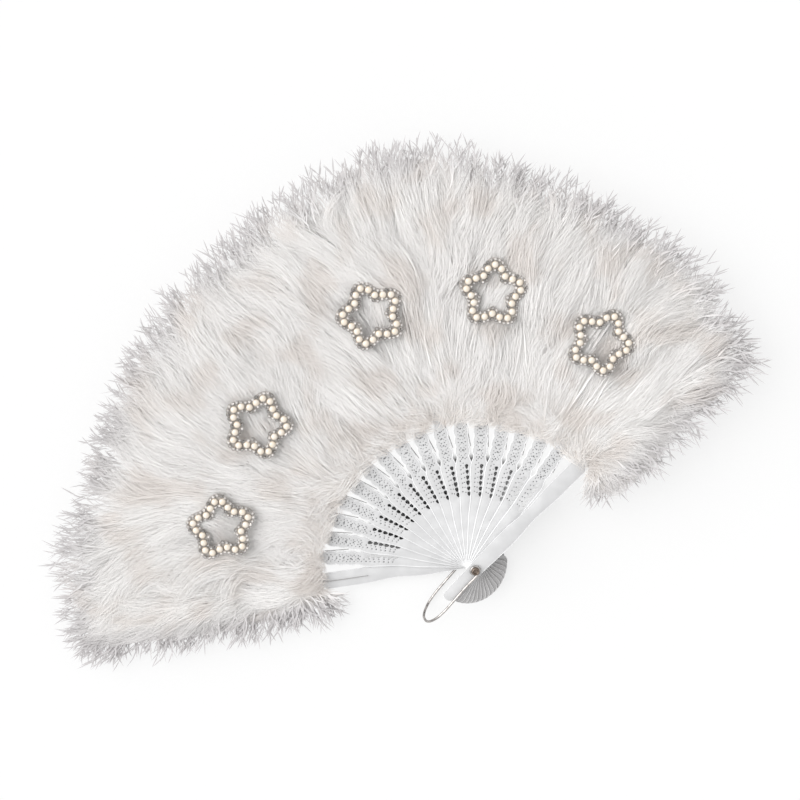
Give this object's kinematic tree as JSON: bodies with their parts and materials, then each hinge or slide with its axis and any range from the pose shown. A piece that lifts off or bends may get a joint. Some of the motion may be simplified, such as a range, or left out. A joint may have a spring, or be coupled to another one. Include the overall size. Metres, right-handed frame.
{
  "type": "feather fan",
  "caption": "Folding hand fan of pierced white plastic staves on one rivet, with white down plumes, pearl flowers on the down and a wire wrist loop.",
  "frame": {"origin": "centre of the rivet's back cap, on the surface that the open fan lies on", "axes": "+Z along the rivet out of the fan's front, +Y from the rivet along the middle of the open fan, +X to the right seen from the front"},
  "size_m": [0.4551, 0.2848, 0.0368],
  "materials": {
    "stave_plastic": "moulded, softly glossy",
    "down": "white marabou down",
    "felt": "pressed felt",
    "pearl": "pearl lacquer",
    "silver": "worn nickel plate"
  },
  "bodies": {
    "back_guard": {"back_guard": "stave_plastic", "back_guard_plume": "down", "rivet": "silver", "rivet_cap": "silver"},
    "stave_01": {"stave_01": "stave_plastic", "plume_01": "down"},
    "stave_02": {"stave_02": "stave_plastic", "plume_02": "down", "flower_felt_1": "felt", "flower_pearls_1": "pearl"},
    "stave_03": {"stave_03": "stave_plastic", "plume_03": "down"},
    "stave_04": {"stave_04": "stave_plastic", "plume_04": "down"},
    "stave_05": {"stave_05": "stave_plastic", "plume_05": "down", "flower_felt_2": "felt", "flower_pearls_2": "pearl"},
    "stave_06": {"stave_06": "stave_plastic", "plume_06": "down"},
    "stave_07": {"stave_07": "stave_plastic", "plume_07": "down"},
    "stave_08": {"stave_08": "stave_plastic", "plume_08": "down"},
    "stave_09": {"stave_09": "stave_plastic", "plume_09": "down", "flower_felt_3": "felt", "flower_pearls_3": "pearl"},
    "stave_10": {"stave_10": "stave_plastic", "plume_10": "down"},
    "stave_11": {"stave_11": "stave_plastic", "plume_11": "down"},
    "stave_12": {"stave_12": "stave_plastic", "plume_12": "down", "flower_felt_4": "felt", "flower_pearls_4": "pearl"},
    "stave_13": {"stave_13": "stave_plastic", "plume_13": "down"},
    "stave_14": {"stave_14": "stave_plastic", "plume_14": "down"},
    "stave_15": {"stave_15": "stave_plastic", "plume_15": "down", "flower_felt_5": "felt", "flower_pearls_5": "pearl"},
    "stave_16": {"stave_16": "stave_plastic", "plume_16": "down"},
    "front_guard": {"front_guard": "stave_plastic", "front_guard_plume": "down"},
    "wrist_loop": {"wrist_loop": "silver"}
  },
  "joints": [
    {"name": "fan_fold", "type": "hinge", "parent": "back_guard", "child": "front_guard", "pos_m": [0, 0, 0], "axis": [0, 0, 1], "range_deg": [0, 141.3], "deforming": ["back_guard_plume", "plume_01", "plume_02", "plume_03", "plume_04", "plume_05", "plume_06", "plume_07", "plume_08", "plume_09", "plume_10", "plume_11", "plume_12", "plume_13", "plume_14", "plume_15", "plume_16", "front_guard_plume"]},
    {"name": "stave_01_fold", "type": "hinge", "parent": "back_guard", "child": "stave_01", "pos_m": [0, 0, 0], "axis": [0, 0, 1], "range_deg": [0, 9.91]},
    {"name": "stave_02_fold", "type": "hinge", "parent": "back_guard", "child": "stave_02", "pos_m": [0, 0, 0], "axis": [0, 0, 1], "range_deg": [0, 18.01]},
    {"name": "stave_03_fold", "type": "hinge", "parent": "back_guard", "child": "stave_03", "pos_m": [0, 0, 0], "axis": [0, 0, 1], "range_deg": [0, 26.11]},
    {"name": "stave_04_fold", "type": "hinge", "parent": "back_guard", "child": "stave_04", "pos_m": [0, 0, 0], "axis": [0, 0, 1], "range_deg": [0, 34.21]},
    {"name": "stave_05_fold", "type": "hinge", "parent": "back_guard", "child": "stave_05", "pos_m": [0, 0, 0], "axis": [0, 0, 1], "range_deg": [0, 42.31]},
    {"name": "stave_06_fold", "type": "hinge", "parent": "back_guard", "child": "stave_06", "pos_m": [0, 0, 0], "axis": [0, 0, 1], "range_deg": [0, 50.41]},
    {"name": "stave_07_fold", "type": "hinge", "parent": "back_guard", "child": "stave_07", "pos_m": [0, 0, 0], "axis": [0, 0, 1], "range_deg": [0, 58.51]},
    {"name": "stave_08_fold", "type": "hinge", "parent": "back_guard", "child": "stave_08", "pos_m": [0, 0, 0], "axis": [0, 0, 1], "range_deg": [0, 66.61]},
    {"name": "stave_09_fold", "type": "hinge", "parent": "back_guard", "child": "stave_09", "pos_m": [0, 0, 0], "axis": [0, 0, 1], "range_deg": [0, 74.71]},
    {"name": "stave_10_fold", "type": "hinge", "parent": "back_guard", "child": "stave_10", "pos_m": [0, 0, 0], "axis": [0, 0, 1], "range_deg": [0, 82.81]},
    {"name": "stave_11_fold", "type": "hinge", "parent": "back_guard", "child": "stave_11", "pos_m": [0, 0, 0], "axis": [0, 0, 1], "range_deg": [0, 90.91]},
    {"name": "stave_12_fold", "type": "hinge", "parent": "back_guard", "child": "stave_12", "pos_m": [0, 0, 0], "axis": [0, 0, 1], "range_deg": [0, 99.01]},
    {"name": "stave_13_fold", "type": "hinge", "parent": "back_guard", "child": "stave_13", "pos_m": [0, 0, 0], "axis": [0, 0, 1], "range_deg": [0, 107.11]},
    {"name": "stave_14_fold", "type": "hinge", "parent": "back_guard", "child": "stave_14", "pos_m": [0, 0, 0], "axis": [0, 0, 1], "range_deg": [0, 115.21]},
    {"name": "stave_15_fold", "type": "hinge", "parent": "back_guard", "child": "stave_15", "pos_m": [0, 0, 0], "axis": [0, 0, 1], "range_deg": [0, 123.31]},
    {"name": "stave_16_fold", "type": "hinge", "parent": "back_guard", "child": "stave_16", "pos_m": [0, 0, 0], "axis": [0, 0, 1], "range_deg": [0, 131.41]},
    {"name": "loop_swing", "type": "hinge", "parent": "back_guard", "child": "wrist_loop", "pos_m": [0, 0, 0], "axis": [0, 0, 1], "range_deg": [-18, 155]}
  ],
  "couplings": [
    {"joint": "stave_01_fold", "follows": "fan_fold", "ratio": 0.070064},
    {"joint": "stave_02_fold", "follows": "fan_fold", "ratio": 0.12739},
    {"joint": "stave_03_fold", "follows": "fan_fold", "ratio": 0.18471},
    {"joint": "stave_04_fold", "follows": "fan_fold", "ratio": 0.24204},
    {"joint": "stave_05_fold", "follows": "fan_fold", "ratio": 0.29936},
    {"joint": "stave_06_fold", "follows": "fan_fold", "ratio": 0.35669},
    {"joint": "stave_07_fold", "follows": "fan_fold", "ratio": 0.41401},
    {"joint": "stave_08_fold", "follows": "fan_fold", "ratio": 0.47134},
    {"joint": "stave_09_fold", "follows": "fan_fold", "ratio": 0.52866},
    {"joint": "stave_10_fold", "follows": "fan_fold", "ratio": 0.58599},
    {"joint": "stave_11_fold", "follows": "fan_fold", "ratio": 0.64331},
    {"joint": "stave_12_fold", "follows": "fan_fold", "ratio": 0.70064},
    {"joint": "stave_13_fold", "follows": "fan_fold", "ratio": 0.75796},
    {"joint": "stave_14_fold", "follows": "fan_fold", "ratio": 0.81529},
    {"joint": "stave_15_fold", "follows": "fan_fold", "ratio": 0.87261},
    {"joint": "stave_16_fold", "follows": "fan_fold", "ratio": 0.92994}
  ]
}
